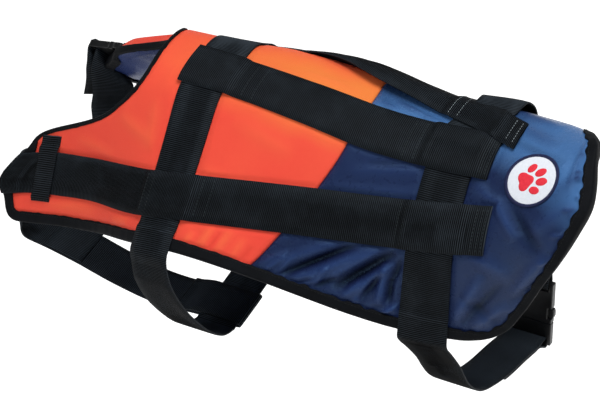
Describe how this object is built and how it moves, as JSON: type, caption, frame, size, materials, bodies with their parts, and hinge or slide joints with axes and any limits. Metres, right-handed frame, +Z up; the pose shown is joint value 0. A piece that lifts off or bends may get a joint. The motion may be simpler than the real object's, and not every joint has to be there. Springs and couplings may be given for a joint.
{
  "type": "dog life jacket",
  "caption": "Dog life jacket: foam saddle with chest wings, webbing handles, girth and chest straps with side-release buckles, filled-out shape.",
  "frame": {"origin": "on the inner face of the back panel's ridge, midway between the two girth straps, where the jacket rests on the dog's back", "axes": "+X along the back towards the tail, +Y to the dog's right side, +Z up"},
  "size_m": [0.7325, 0.3668, 0.4193],
  "materials": {
    "orange_nylon": "coated woven nylon, satin",
    "navy_nylon": "coated woven nylon, satin",
    "navy_lining": "smooth shiny taffeta",
    "black_binding": "ribbed tape, matte",
    "black_webbing": "ribbed webbing, matte",
    "black_buckle": "moulded, fine texture",
    "patch_white": "embroidered, matte"
  },
  "bodies": {
    "root": {"panel_front": "orange_nylon", "panel_rear": "navy_nylon", "lining_front": "navy_lining", "edge_binding": "black_binding", "patch": "patch_white", "handle_left": "black_webbing", "handle_right": "black_webbing", "side_strap_left": "black_webbing", "side_strap_right": "black_webbing", "keeper_left": "black_webbing", "keeper_right": "black_webbing", "girth_strap_front": "black_webbing", "girth_strap_rear": "black_webbing", "chest_strap": "black_webbing", "breast_strap": "black_webbing", "girth_buckle_front_plug": "black_buckle", "girth_buckle_front_socket": "black_buckle", "girth_buckle_rear_plug": "black_buckle", "girth_buckle_rear_socket": "black_buckle", "chest_buckle_plug": "black_buckle", "chest_buckle_socket": "black_buckle"}
  },
  "joints": []
}
